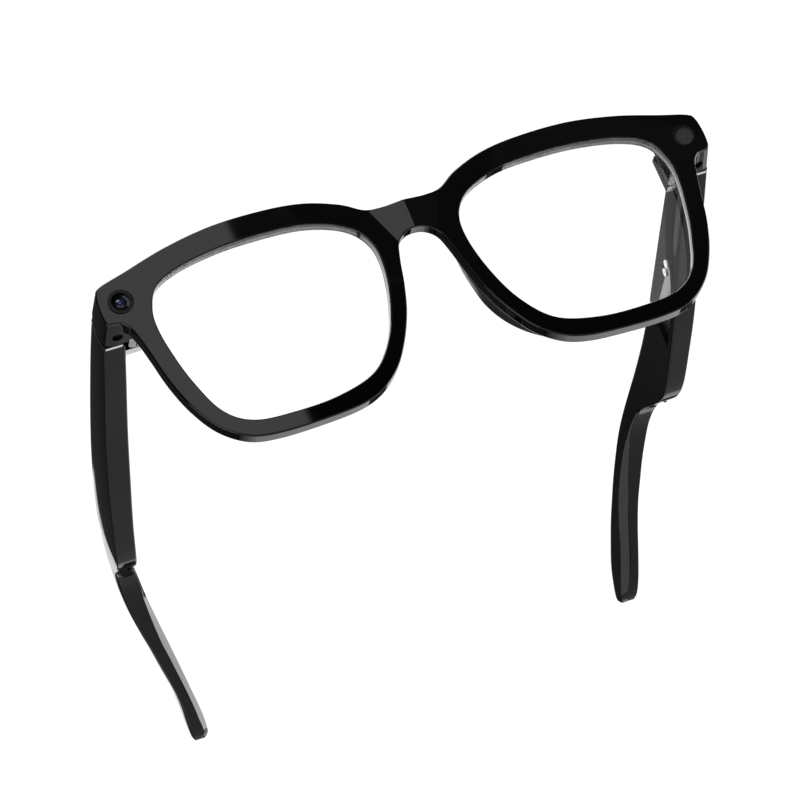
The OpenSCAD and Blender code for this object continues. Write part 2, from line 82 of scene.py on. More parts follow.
# Temple stations: inner x, outer x low and high, lower edge y and z, upper edge y and z
STATIONS = [(66.2, 71.7, 71.5, 12.5, 11.9, 12.5, 21.3),
            (66.2, 71.9, 71.7, 24, 8.6, 25, 19.2),
            (66.2, 72.1, 71.8, 41, 3.9, 42, 15.9),
            (66.2, 72, 71.7, 57, -1.4, 58.5, 12.5),
            (66, 71.5, 71.2, 70, -5.3, 72, 9.5),
            (65.6, 70.9, 70.5, 80, -8.2, 82.5, 7.2),
            (65.1, 70.3, 69.8, 85.5, -8.6, 88, 5.7),
            (64.5, 69.6, 69.2, 90.5, -7.2, 93, 4.2),
            (63.5, 68.6, 68.3, 97, -5.1, 98.7, 2.1),
            (62.1, 67.4, 67.2, 103, -6, 104.8, -0.4),
            (60.9, 66.4, 66, 108, -8.2, 110.5, -2.9),
            (59.7, 65.2, 64.7, 112, -11, 115.8, -6.2),
            (58.4, 63.8, 62.9, 115.8, -14.6, 120.6, -9.9),
            (57.2, 62.2, 61.3, 119, -18.5, 125, -13.7),
            (56.1, 60.8, 59.7, 122, -22.8, 129.6, -17.5),
            (55.1, 59.5, 58, 124.8, -27.3, 133.6, -21.5),
            (54.1, 58.6, 57.2, 127.8, -31, 136.8, -25.6),
            (53.4, 58, 56.8, 130.8, -33.6, 139.1, -30.2),
            (53.2, 57.4, 56.4, 133.8, -35.4, 139.8, -33.4),
            (54, 56.7, 55.8, 136, -35.9, 138.8, -35)]

# Nose pad stations: nasal edge at the rim, at the back, lens edge at the rim, depth
PAD = [(6.7, 10.9, 7.4, 11.1, 9.4, 11.6, 4.1),
       (6.4, 8.6, 7.6, 8.7, 9.5, 9, 6.8),
       (6.8, 4.5, 8, 4.6, 10, 5.1, 8.3),
       (7.9, -0.7, 8.9, -0.8, 11.2, -0.4, 8.7),
       (9.6, -5.4, 10, -5.5, 13.1, -4.9, 8.6),
       (12.4, -11, 12.5, -10.6, 15.9, -9.8, 8),
       (16.2, -16.1, 16.5, -15.4, 19.1, -13.5, 6.8),
       (21, -19.8, 21.5, -18.9, 22.9, -16.5, 5.4),
       (26.2, -21.5, 26.5, -20.6, 27.2, -18.1, 4.3)]

# The opening in a temple's inner face, along Y and Z
HOLLOW = [(16.5, 12.7), (16.5, 19.4), (30, 16.7), (45, 13.6), (60, 10.4), (67.5, 8.8),
          (68.5, -3.2), (57, 0.2), (41, 5.4), (24, 10.1)]


# ---------- curves ----------

def mix(a, b, t):
    return a + (b - a) * t


def ease(t):
    t = min(max(t, 0.0), 1.0)
    return t * t * (3 - 2 * t)


def curve_point(a, b, c, d, t):
    return 0.5 * (2 * b + (c - a) * t + (2 * a - 5 * b + 4 * c - d) * t * t
                  + (3 * b - a - 3 * c + d) * t ** 3)


def on_closed(points, s):
    """The point at s, counted in control points, on a closed smooth curve."""
    n = len(points)
    i = math.floor(s)
    p = [Vector(points[(i + k) % n]) for k in (-1, 0, 1, 2)]
    return curve_point(*p, s - i)


def on_half_edge(s):
    """The point at s on the outer edge, which runs on into its mirror image."""
    last = len(HALF_EDGE) - 1
    i = min(math.floor(s), last - 1)

    def at(k):
        if k < 0:
            return Vector((-HALF_EDGE[-k][0], HALF_EDGE[-k][1]))
        if k > last:
            x, z = HALF_EDGE[2 * last - k]
            return Vector((-x, z))
        return Vector(HALF_EDGE[k])
    return curve_point(*[at(i + k) for k in (-1, 0, 1, 2)], s - i)


def on_rows(rows, s):
    """A row of numbers at s, smooth through the rows."""
    last = len(rows) - 1
    i = min(math.floor(s), last - 1)
    q = [rows[min(max(i + k, 0), last)] for k in (-1, 0, 1, 2)]
    return [curve_point(a, b, c, d, s - i) for a, b, c, d in zip(*q)]


def wrap(x, inset=0.0):
    """Depth of the wrapped face of the front at x."""
    r = WRAP_R - inset
    return WRAP_R - math.sqrt(r * r - x * x)


# The bridge's ridge: how steeply its flanks fall back, where they end high and low, and
# where the face is back in line
RIDGE_SLOPE, RIDGE_END = 0.09, 30.0
RIDGE_HIGH, RIDGE_LOW = (8.0, 20.5), (4.0, 10.0)


def flank(z):
    """Where the flank of the bridge's ridge ends at height z, across from the middle."""
    return max(mix(RIDGE_LOW[0], RIDGE_HIGH[0],
                   (z - RIDGE_LOW[1]) / (RIDGE_HIGH[1] - RIDGE_LOW[1])), 1.0)


def face_y(x, z):
    """Depth of the face of the front."""
    end, across = flank(z), abs(x)
    if across < end:
        return wrap(x) + RIDGE_SLOPE * across
    return wrap(x) + RIDGE_SLOPE * end * (1 - ease((across - end) / (RIDGE_END - end)))


def back_y(x, z):
    """Depth of the back of the front. It doesn't change with z, unlike face_y."""
    return wrap(x, RIM_T)


# ---------- meshes ----------

def new_object(name, bm, body=None, material=None, replaces=(), smooth=True):
    """A finished piece from a bmesh in the front's frame."""
    bmesh.ops.recalc_face_normals(bm, faces=bm.faces)
    mesh = bpy.data.meshes.new(name)
    bm.to_mesh(mesh)
    bm.free()
    mesh.transform(TO_ROW)
    if smooth:
        mesh.shade_smooth()
    piece = bpy.data.objects.new(name, mesh)
    bpy.context.scene.collection.objects.link(piece)
    if material:
        mesh.materials.append(material)
    if body:
        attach(piece, body)
    if replaces:
        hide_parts(*replaces)
    return piece


def loft(rings):
    """A closed skin over rings of points, with a flat cap at each end."""
    bm = bmesh.new()
    rows = [[bm.verts.new(p) for p in ring] for ring in rings]
    n = len(rows[0])
    for a, b in zip(rows, rows[1:]):
        for k in range(n):
            bm.faces.new((a[k], a[(k + 1) % n], b[(k + 1) % n], b[k]))
    bm.faces.new(rows[0])
    bm.faces.new(rows[-1])
    return bm


def mirrored(bm):
    for v in bm.verts:
        v.co.x = -v.co.x
    return bm


def sided(bm, side):
    """A shape drawn on the wearer's left, put on its own side."""
    return mirrored(bm) if side < 0 else bm


def bevel(piece, width, segments=3, angle=30):
    """Rounds a piece's edges. The width is in millimetres."""
    m = piece.modifiers.new("edges", "BEVEL")
    m.width = width * 0.001
    m.segments = segments
    m.limit_method = "ANGLE"
    m.angle_limit = math.radians(angle)
    m.harden_normals = True
    m.use_clamp_overlap = True
    return m


def even_normals(piece, angle=35, known=None):
    """Sets the shading of each corner from the main faces round it, which have material 0.
    The corners' narrow faces, which have material 1, turn from one main face to the next.
    known() may give the exact normal at a place."""
    mesh = piece.data
    limit = math.cos(math.radians(angle))
    to_front, unturn = TO_ROW.inverted(), TURN.inverted().to_3x3()
    faces = [(p.normal.copy(), p.area, p.material_index) for p in mesh.polygons]
    around = [[] for v in mesh.vertices]
    for p in mesh.polygons:
        for v in p.vertices:
            around[v].append(p.index)
    normals, at_edge = [], {}
    for p in mesh.polygons:
        middle = to_front @ p.center
        own = faces[p.index][0]
        for v in p.vertices:
            n = known and known(to_front @ mesh.vertices[v].co, middle, unturn @ own)
            if not n:
                main = [i for i in around[v] if faces[i][2] == 0]
                base = own
                if faces[p.index][2] and main:
                    base = max((faces[i][0] for i in main), key=base.dot)
                near = [i for i in (main or around[v]) if faces[i][0].dot(base) > limit]
                n = sum((faces[i][0] * faces[i][1] for i in near), Vector())
                n = n.normalized() if n.length else own
            normals.append(n)
        corner = dict(zip(p.vertices, normals[-len(p.vertices):]))
        for key in p.edge_keys:
            at_edge.setdefault(key, []).append((corner[key[0]], corner[key[1]]))
    for edge in mesh.edges:
        sides = at_edge.get(edge.key, [])
        if len(sides) == 2:
            edge.use_edge_sharp = any((a - b).length > 0.01 for a, b in zip(*sides))
    mesh.normals_split_custom_set(normals)


def surface_normal(depth, x, z, way):
    """The normal of a surface with depth(x, z), on the side that way points to along Y."""
    step = 0.001
    dx = (depth(x + step, z) - depth(x - step, z)) / (2 * step)
    dz = (depth(x, z + step) - depth(x, z - step)) / (2 * step)
    return (Vector((-dx, 1, -dz)) * way).normalized()


def settle(piece):
    """Applies a piece's modifiers."""
    graph = bpy.context.evaluated_depsgraph_get()
    mesh = bpy.data.meshes.new_from_object(piece.evaluated_get(graph), depsgraph=graph)
    piece.modifiers.clear()
    piece.data = mesh


def cut(piece, cutters):
    """Takes the cutters, bmeshes in the front's frame, out of a piece."""
    for bm in cutters:
        tool = new_object("cutter", bm)
        m = piece.modifiers.new("cut", "BOOLEAN")
        m.operation = "DIFFERENCE"
        m.solver = "EXACT"
        m.object = tool
        bpy.context.view_layer.update()
        settle(piece)
        bpy.data.objects.remove(tool)


def prism(points, axis, low, high):
    """A prism of a 2-D outline along axis x, y or z."""
    def at(p, h):
        return {"x": (h, p[0], p[1]), "y": (p[0], h, p[1]), "z": (p[0], p[1], h)}[axis]
    return loft([[at(p, low) for p in points], [at(p, high) for p in points]])


def circle(x, z, r, n=64):
    return [(x + r * math.cos(2 * math.pi * k / n), z + r * math.sin(2 * math.pi * k / n))
            for k in range(n)]


def capsule(w, l, n=12):
    """A long hole's outline, with its length along the second axis."""
    r, h = w / 2, (l - w) / 2
    return ([(r * math.cos(math.pi * k / n), h + r * math.sin(math.pi * k / n))
             for k in range(n + 1)]
            + [(-r * math.cos(math.pi * k / n), -h - r * math.sin(math.pi * k / n))
               for k in range(n + 1)])


def turned(profile, x, z, n=64):
    """A body of revolution about Y through (x, z), from (radius, depth) points."""
    bm = bmesh.new()
    rows = []
    for r, y in profile:
        if r == 0:
            rows.append([bm.verts.new((x, y, z))] * n)
        else:
            rows.append([bm.verts.new((x + r * math.cos(2 * math.pi * k / n), y,
                                       z + r * math.sin(2 * math.pi * k / n)))
                         for k in range(n)])
    for a, b in zip(rows, rows[1:]):
        for k in range(n):
            q = [a[k], a[(k + 1) % n], b[(k + 1) % n], b[k]]
            face = [v for i, v in enumerate(q) if v not in q[:i]]
            if len(face) > 2:
                bm.faces.new(face)
    return bm


# ---------- materials ----------

SLOW_SCALE = 160.0                 # of the slow changes, per metre
GRAIN_HEIGHT = 0.00002             # in metres


def material(name, base, rough, metal=0.0, coat=0.0, ior=1.5, grain=0.0, grain_scale=4000.0,
             wear=0.0, variation=0.0):
    """A surface with fine grain in its height, and slow changes in its colour and gloss."""
    m = bpy.data.materials.new(name)
    m.use_nodes = True
    nodes, links = m.node_tree.nodes, m.node_tree.links
    shader = nodes["Principled BSDF"]
    shader.inputs["Metallic"].default_value = metal
    shader.inputs["IOR"].default_value = ior
    shader.inputs["Coat Weight"].default_value = coat
    place = nodes.new("ShaderNodeTexCoord")
    slow = nodes.new("ShaderNodeTexNoise")
    slow.inputs["Scale"].default_value = SLOW_SCALE
    slow.inputs["Detail"].default_value = 4.0
    links.new(place.outputs["Object"], slow.inputs["Vector"])
    tint = nodes.new("ShaderNodeMix")
    tint.data_type = "RGBA"
    for socket, change in (("A", 1 - variation), ("B", 1 + variation)):
        tint.inputs[socket].default_value = (*[min(1, c * change) for c in base], 1)
    links.new(slow.outputs["Fac"], tint.inputs["Factor"])
    links.new(tint.outputs["Result"], shader.inputs["Base Color"])
    gloss = nodes.new("ShaderNodeMapRange")
    gloss.inputs["From Min"].default_value = 0.3
    gloss.inputs["From Max"].default_value = 0.7
    gloss.inputs["To Min"].default_value = max(0.0, rough - wear)
    gloss.inputs["To Max"].default_value = rough + wear
    links.new(slow.outputs["Fac"], gloss.inputs["Value"])
    links.new(gloss.outputs["Result"], shader.inputs["Roughness"])
    if grain:
        fine = nodes.new("ShaderNodeTexNoise")
        fine.inputs["Scale"].default_value = grain_scale
        fine.inputs["Detail"].default_value = 3.0
        links.new(place.outputs["Object"], fine.inputs["Vector"])
        bump = nodes.new("ShaderNodeBump")
        bump.inputs["Strength"].default_value = grain
        bump.inputs["Distance"].default_value = GRAIN_HEIGHT
        links.new(fine.outputs["Fac"], bump.inputs["Height"])
        links.new(bump.outputs["Normal"], shader.inputs["Normal"])
    return m


def clear_lens(name):
    """Clear glass whose gloss changes slowly."""
    m = bpy.data.materials.new(name)
    m.use_nodes = True
    nodes, links = m.node_tree.nodes, m.node_tree.links
    shader = nodes["Principled BSDF"]
    shader.inputs["Base Color"].default_value = (0.995, 0.998, 1.0, 1)
    shader.inputs["Transmission Weight"].default_value = 1.0
    shader.inputs["IOR"].default_value = 1.5
    place = nodes.new("ShaderNodeTexCoord")
    slow = nodes.new("ShaderNodeTexNoise")
    slow.inputs["Scale"].default_value = 30.0
    links.new(place.outputs["Object"], slow.inputs["Vector"])
    gloss = nodes.new("ShaderNodeMapRange")
    gloss.inputs["To Min"].default_value = 0.0
    gloss.inputs["To Max"].default_value = 0.006
    links.new(slow.outputs["Fac"], gloss.inputs["Value"])
    links.new(gloss.outputs["Result"], shader.inputs["Roughness"])
    return m


gloss_black = material("gloss_black", (0.0014, 0.0014, 0.0015), 0.035, grain=0.02, wear=0.01,
                       variation=0.1, grain_scale=3000)
temple_black = material("temple_black", (0.002, 0.002, 0.0022), 0.06, grain=0.03, wear=0.015,
                        variation=0.1, grain_scale=3500)
pad_black = material("pad_black", (0.012, 0.012, 0.0125), 0.3, grain=0.08, wear=0.03,
                     variation=0.1)
hinge_steel = material("hinge_steel", (0.24, 0.24, 0.25), 0.26, metal=1, grain=0.1, wear=0.06,
                       variation=0.04, grain_scale=6000)
plate_metal = material("plate_metal", (0.42, 0.42, 0.43), 0.14, metal=1, grain=0.03, wear=0.03,
                       variation=0.02, grain_scale=6000)
contact_metal = material("contact_metal", (0.93, 0.92, 0.9), 0.3, metal=0.1, grain=0.03,
                         wear=0.03, variation=0.02)
trim_metal = material("trim_metal", (0.02, 0.021, 0.023), 0.2, metal=0.4, grain=0.05, wear=0.03,
                      variation=0.1)
ring_grey = material("ring_grey", (0.012, 0.012, 0.013), 0.18, grain=0.04, wear=0.03,
                     variation=0.05)
lamp_grey = material("lamp_grey", (0.05, 0.05, 0.052), 0.22, coat=0.5, grain=0.02, wear=0.02,
                     variation=0.05)
camera_glass = material("camera_glass", (0.018, 0.026, 0.1), 0.04, coat=1.0, ior=1.6,
                        wear=0.01, variation=0.3)
mesh_black = material("mesh_black", (0.004, 0.004, 0.004), 0.5, grain=0.6, wear=0.1,
                      variation=0.3, grain_scale=9000)
board_green = material("board_green", (0.02, 0.14, 0.05), 0.35, grain=0.3, wear=0.1,
                       variation=0.3, grain_scale=2500)
film_brown = material("film_brown", (0.42, 0.17, 0.03), 0.3, grain=0.1, wear=0.05,
                      variation=0.15)
foil = material("foil", (0.66, 0.68, 0.7), 0.35, metal=1, grain=0.3, wear=0.1, variation=0.08,
                grain_scale=1500)
housing = material("housing", (0.03, 0.03, 0.033), 0.4, grain=0.3, wear=0.1, variation=0.2)
lens_clear = clear_lens("lens_clear")
edge_black = material("edge_black", (0.0016, 0.0016, 0.0017), 0.05, grain=0.02, wear=0.01,
                      variation=0.1, grain_scale=3000)


# ---------- the front ----------

BLOCK_FROM, BLOCK_TO = 8.0, 14.0   # points of the outer edge that an endpiece spans
BLOCK_X = 61.0                     # inner side of an endpiece
REAR_LOW, REAR_HIGH = 11.9, 21.6   # foot and head of an endpiece's rear
REAR_WIDER = 0.5                   # how much further out its rear is than its front
TURNS = 5                          # places round each corner of the rim
# Radii of the rim's corners, and of its outer back corner where an endpiece stands on it
INNER_FRONT, OUTER_FRONT, INNER_BACK, OUTER_BACK, UNDER_BLOCK = 0.3, 0.35, 0.42, 1.3, 0.3


def corner(edge, inward, radius, depth, way):
    """A rounded corner from the wall at edge to the surface at depth(x, z), as places and
    normals. way is the direction of the surface's normal along Y."""
    points = []
    for k in range(TURNS):
        angle = math.radians(90 * k / (TURNS - 1))
        p = edge + inward * (radius * (1 - math.cos(angle)))
        y = depth(p.x, p.y) - way * radius * (1 - math.sin(angle))
        flat = surface_normal(depth, p.x, p.y, way)
        wall = Vector((-inward.x, 0, -inward.y))
        points.append((Vector((p.x, y, p.y)),
                       (wall * math.cos(angle) + flat * math.sin(angle)).normalized()))
    return points


def across_surface(a, b, places, depth, way):
    """Places and normals on the surface at depth(x, z), part of the way from a to b."""
    points = []
    for t in places:
        x, z = mix(a.x, b.x, t), mix(a.z, b.z, t)
        points.append((Vector((x, depth(x, z), z)), surface_normal(depth, x, z, way)))
    return points


def rim_column(s, outer, facing):
    """A section of the rim from its opening to its outer edge. On the bridge's middle
    plane s is None."""
    inner = on_closed(OPENING, facing % len(OPENING))
    along = on_closed(OPENING, (facing + 0.02) % len(OPENING)) - on_closed(
        OPENING, (facing - 0.02) % len(OPENING))
    into = Vector((along.y, -along.x)).normalized()
    inner_front = corner(inner, into, INNER_FRONT, face_y, -1)
    inner_back = corner(inner, into, INNER_BACK, back_y, 1)
    if s is None:
        edge = Vector((0, 0, outer.y))
        outer_front = across_surface(edge, edge, [0] * TURNS, face_y, -1)
        outer_back = across_surface(edge, edge, [0] * TURNS, back_y, 1)
    else:
        along = on_half_edge(s + 0.02) - on_half_edge(s - 0.02)
        into = Vector((along.y, -along.x)).normalized()
        near = min(max(BLOCK_FROM - s, s - BLOCK_TO, 0) / 2, 1)
        outer_front = corner(outer, into, OUTER_FRONT, face_y, -1)
        outer_back = corner(outer, into, mix(UNDER_BLOCK, OUTER_BACK, near), back_y, 1)
    # One place across the face is on the line where the ridge's flank ends
    a, b = inner_front[-1][0], outer_front[-1][0]
    slope = (RIDGE_HIGH[0] - RIDGE_LOW[0]) / (RIDGE_HIGH[1] - RIDGE_LOW[1])
    gap = (b.x - a.x) - slope * (b.z - a.z)
    t = (RIDGE_LOW[0] + slope * (a.z - RIDGE_LOW[1]) - a.x) / gap if gap else 1
    t = t if 0.05 < t < 0.97 else 0.97
    front_face = across_surface(a, b, (t / 3, 2 * t / 3, t), face_y, -1)
    back_face = across_surface(outer_back[-1][0], inner_back[-1][0], (0.33, 0.67), back_y, 1)
    return (inner_front + front_face + outer_front[::-1] + outer_back + back_face
            + inner_back[::-1])


def rim_half():
    """Half of the rims and the bridge as a closed mesh, and its places and normals."""
    steps = 6
    last = len(HALF_EDGE) - 1
    columns = [(k / steps, on_half_edge(k / steps),
                mix(FACING[k // steps], FACING[min(k // steps + 1, last)], k % steps / steps))
               for k in range(last * steps + 1)]
    low, high = HALF_EDGE[-1][1], HALF_EDGE[0][1]
    columns += [(None, Vector((0, mix(low, high, k / steps))),
                 mix(FACING[-1], FACING[0] - len(OPENING), k / steps)) for k in range(1, steps)]
    bm = bmesh.new()
    rows, known = [], []
    for s, outer, facing in columns:
        row = []
        for p, n in rim_column(s, outer, facing):
            if abs(p.x) < 0.005:
                p.x = 0
            if row and (row[-1].co - p).length < 1e-5:
                row.append(row[-1])
                continue
            row.append(bm.verts.new(p))
            known.append((p, n))
        rows.append(row)
    count = len(rows[0])
    for k, row in enumerate(rows):
        other = rows[(k + 1) % len(rows)]
        for j in range(count):
            i = (j + 1) % count
            quad = [row[j], row[i], other[i], other[j]]
            quad = [v for m, v in enumerate(quad) if v not in quad[:m]]
            if len(quad) > 2:
                bm.faces.new(quad)
    return bm, known


def block_ring(t):
    """The outline of an endpiece behind the rim, from its front at 0 to its rear at 1."""
    count = 36
    edge = [on_half_edge(mix(BLOCK_FROM, BLOCK_TO, k / count)) for k in range(count + 1)]
    outline = edge + [Vector((64.5, 12.7)), Vector((61.2, 12.5)), Vector((BLOCK_X, 23))]
    ring = []
    for p in outline:
        x = p.x + REAR_WIDER * ease((p.x - BLOCK_X) / 9) * t
        rear = mix(REAR_LOW, REAR_HIGH, (p.y - 13.2) / 9.2)
        rear = min(max(rear, REAR_LOW + 0.02), REAR_HIGH - 0.02)
        ring.append((x, mix(wrap(p.x) + 0.4, BACK_Y - 0.01, t), mix(p.y, rear, t)))
    return ring


EYE_X, EYE_Z = 66.0, 17.8
EYE_HOLE = (1, 6.4)                # depths that the hole for each eye spans
CAMERA_R, LAMP_R = 2.85, 2.6
MIC_X, MIC_Y, MIC_R = 68.3, 8.3, 1.2
# Pockets in the rear of an endpiece, for its cover and for the hinge's bracket
COVER_POCKET = ((62, BACK_Y - 1.5, 13.1), (70.1, 13, 20.9))
BRACKET_POCKET = ((61.7, BACK_Y - 0.8, 11), (65.5, 13, 20.55))


def box(low, high):
    """A square-edged cutter between two opposite corners."""
    return loft([[(x, y, z) for x, z in ((low[0], low[2]), (high[0], low[2]),
                                         (high[0], high[2]), (low[0], high[2]))]
                 for y in (low[1], high[1])])


def front_pieces(side, word):
    """One half of the rims and the endpiece behind it."""
    half, places = rim_half()
    tree = KDTree(len(places))
    for i, (p, n) in enumerate(places):
        tree.insert(p, i)
    tree.balance()

    def rim_normal(at, middle, own):
        """The exact normal at a corner of a face of the half, or None on a cut."""
        at, middle, own = (Vector((v.x * side, v.y, v.z)) for v in (at, middle, own))
        q = at.lerp(middle, 0.05)
        if own.y < -0.9 and abs(at.y - face_y(at.x, at.z)) < 0.02:
            n = surface_normal(face_y, q.x, q.z, -1)
        elif own.y > 0.9 and abs(at.y - back_y(at.x, at.z)) < 0.02:
            n = surface_normal(back_y, q.x, q.z, 1)
        else:
            found, i, distance = tree.find(at)
            if distance > 0.003:
                return None
            n = places[i][1]
        if n.dot(own) < 0.7:
            return None
        return (TURN.to_3x3() @ Vector((n.x * side, n.y, n.z))).normalized()

    rim = new_object(f"front_half_{word}", sided(half, side), "front",
                     gloss_black, ["front_frame"])
    radius = CAMERA_R if side < 0 else LAMP_R
    eye = prism(circle(EYE_X, EYE_Z, radius), "y", *EYE_HOLE)
    cut(rim, [sided(eye.copy(), side)])
    even_normals(rim, known=rim_normal)
    layers = 4
    solid = loft([block_ring(t / layers) for t in range(layers + 1)])
    block = new_object(f"endpiece_{word}_block", sided(solid, side), "front",
                       gloss_black, ["front_frame"])
    block.data.materials.append(edge_black)
    bevel(block, 0.22, segments=4, angle=40).material = 1
    settle(block)
    mic = prism(circle(MIC_X, MIC_Y, MIC_R, 32), "z", 10, 13.6)
    cut(block, [sided(b, side) for b in (eye, mic, box(*COVER_POCKET), box(*BRACKET_POCKET))])
    even_normals(block)


SIDES = ((-1, "right"), (1, "left"))
for side, word in SIDES:
    front_pieces(side, word)


# ---------- lenses ----------

# Scales of the opening's outline over one face of a lens, each with its depth in the bevel
LENS_RINGS = [(1.022, 0.35), (1.008, 0.0), (0.9, 0.0), (0.7, 0.0), (0.45, 0.0), (0.2, 0.0)]


def lens_mesh():
    """A curved lens with a narrow bevel along its edge."""
    steps = 8
    outline = [on_closed(OPENING, k / steps) - OPENING_MID
               for k in range(steps * len(OPENING))]

    def ring(scale, inset, depth):
        points = [OPENING_MID + p * scale for p in outline]
        return [(p.x, wrap(p.x, inset) + depth, p.y) for p in points]

    front = [ring(scale, LENS_INSET, depth) for scale, depth in LENS_RINGS]
    rear = [ring(scale, LENS_INSET + LENS_T, -depth) for scale, depth in LENS_RINGS]
    return loft(front[::-1] + [ring(LENS_RINGS[0][0], LENS_INSET, 1.2)] + rear)


for side, word in SIDES:
    lens = new_object(f"lens_{word}_clear", sided(lens_mesh(), side), "front",
                      lens_clear, [f"lens_{word}"])
    even_normals(lens, angle=12)


# ---------- the camera's eye ----------

# Radius and depth of the flat glass and of the small dome in its middle
EYE_FACE = [(1.28, 3.75), (1.36, 3.5), (2.0, 3.47), (2.06, 3.52), (2.06, 3.85), (1.28, 3.85)]
EYE_DOME = [(0, 3.28), (0.3, 3.3), (0.6, 3.36), (0.9, 3.47), (1.12, 3.6), (1.26, 3.76),
            (1.26, 3.9), (0, 3.9)]
for name, profile, look in (("camera_eye_face", EYE_FACE + EYE_FACE[:1], gloss_black),
                            ("camera_eye_dome", EYE_DOME, camera_glass)):
    eye_piece = new_object(name, mirrored(turned(profile, EYE_X, EYE_Z)), "front",
                           look, ["camera_window"])
    even_normals(eye_piece, angle=30)


# ---------- nose pads ----------

PAD_FROM = 3.4                     # depth where the pads begin, inside the rims


def pad_mesh():
    """A nose pad, swept down the rim. Each section runs from the lens round by the rear."""
    rings = []
    steps = 4
    for j in range(steps * (len(PAD) - 1) + 1):
        nx, nz, bx, bz, lx, lz, deep = on_rows(PAD, j / steps)
        nasal, rear, lens_side = Vector((nx, nz)), Vector((bx, bz)), Vector((lx, lz))
        shape = [(lens_side, 0), (rear * 0.06 + lens_side * 0.94, 0.35),
                 (rear * 0.14 + lens_side * 0.86, 0.68), (rear * 0.32 + lens_side * 0.68, 0.9),
                 (rear * 0.55 + lens_side * 0.45, 0.985), (rear * 0.78 + lens_side * 0.22, 0.99),
                 (rear * 0.94 + lens_side * 0.06, 0.94), (rear, 0.84),
                 (nasal * 0.2 + rear * 0.8, 0.66), (nasal * 0.5 + rear * 0.5, 0.4),
                 (nasal * 0.85 + rear * 0.15, 0.16), (nasal, 0)]
        rings.append([(p.x, mix(PAD_FROM, deep, h), p.y) for p, h in shape])
    return loft(rings)


for side, word in SIDES:
    pad = new_object(f"nose_pad_{word}_moulded", sided(pad_mesh(), side), "front",
                     pad_black, [f"nose_pad_{word}"])
    m = pad.modifiers.new("smooth", "SUBSURF")
    m.levels = m.render_levels = 1


# ---------- temples ----------

SHELL_INSET = 0.015                # keeps the rounder shell inside the frame's box


def temple_ring(row, tip):
    """A section of a temple. It runs from the lower inner corner round by the outer face.
    tip is how wide the chamfer on that corner is, from 0 to 1."""
    x_in, x_low, x_high, y_b, z_b, y_t, z_t = row
    width, height = x_low - x_in, math.hypot(y_t - y_b, z_t - z_b)
    soft = mix(0.5, 1.9, tip)      # size of the lower inner corner
    hard = 0.3                     # radius of the lower outer corner
    flat = min(1, 4 * tip)         # a round corner at 0, a flat chamfer at 1
    a, b = soft / width, soft / height
    c, d = hard / width, hard / height
    # Places across and up the section, as parts of its width and height
    underside = [(a, 0), (0.35, 0), (0.6, 0), (0.9 - c, 0), (0.9 - 0.3 * c, 0.12 * d),
                 (0.905 + 0.1 * c, 0.55 * d), (0.92 + 0.1 * c, 1.2 * d)]
    outside = [(0.955, 0.13), (0.98, 0.26), (0.995, 0.38), (1, 0.5), (0.995, 0.62),
               (0.98, 0.74), (0.945, 0.84), (0.88, 0.91), (0.79, 0.96)]
    top = [(0.68, 0.985), (0.57, 0.998), (0.46, 1), (0.35, 0.995), (0.24, 0.975),
           (0.14, 0.94), (0.06, 0.89), (0.015, 0.83)]
    inside = [(0, 0.76), (0, 0.6), (0, 0.45), (0, 0.3), (0, b + 0.08), (0, b)]
    last_corner = [(mix(0.04, 0.28, flat) * a, 0.72 * b),
                   (mix(0.3, 0.65, flat) * a, mix(0.3, 0.35, flat) * b),
                   (mix(0.7, 0.88, flat) * a, mix(0.05, 0.12, flat) * b)]
    ring = []
    for across, up in underside + outside + top + inside + last_corner:
        outer = mix(x_low, x_high, up) - SHELL_INSET
        ring.append((mix(x_in, outer, across), mix(y_b, y_t, up), mix(z_b, z_t, up)))
    return ring


def temple_mesh():
    """A whole temple. The chamfer widens behind the step and narrows at the end."""
    rings = []
    steps = 6
    for j in range(steps * (len(STATIONS) - 1) + 1):
        s = j / steps
        tip = ease((s - 8.5) / 5) * (1 - 0.7 * ease((s - 15.5) / 3.5))
        rings.append(temple_ring(on_rows(STATIONS, s), tip))
    return loft(rings)


def cover_mesh():
    """A temple's inner cover, a little larger than its opening, so that no seam shows."""
    bm = prism(HOLLOW, "x", INNER_X, INNER_X + 1)
    for v in bm.verts:
        v.co.y += 0.004 * (v.co.y - 42)
        v.co.z += 0.01 * (v.co.z - 8)
    return bm


HOLLOW_FROM, HOLLOW_TO = 60.0, 70.2        # the cutter of the hollow, across the temple
BUTTON_AT = Vector((68.7, 28, 18.55))
BUTTON_SLOPE = math.radians(-11.6)
PORT_AT = Vector((67.6, 88.2, -7.6))
PORT_SLOPE = math.radians(-58)

for side, word in SIDES:
    shell = new_object(f"temple_{word}_shell", sided(temple_mesh(), side), f"temple_{word}",
                       temple_black, [f"temple_shell_{word}"])
    port = prism(capsule(0.9, 1.8), "z", 0, 3)
    port.transform(Matrix.Translation(PORT_AT) @ Matrix.Rotation(PORT_SLOPE, 4, "X"))
    tools = [sided(prism(HOLLOW, "x", HOLLOW_FROM, HOLLOW_TO), side), sided(port, side)]
    if side < 0:
        slot = prism(capsule(2.5, 7.2), "z", -2.5, 1.5)
        slot.transform(Matrix.Translation(BUTTON_AT) @ Matrix.Rotation(BUTTON_SLOPE, 4, "X"))
        tools.append(mirrored(slot))
    cut(shell, tools)
    even_normals(shell)
    new_object(f"inner_cover_{word}_face", sided(cover_mesh(), side), f"temple_{word}",
               temple_black, [f"inner_cover_{word}"])


# ---------- the frame's own pieces ----------

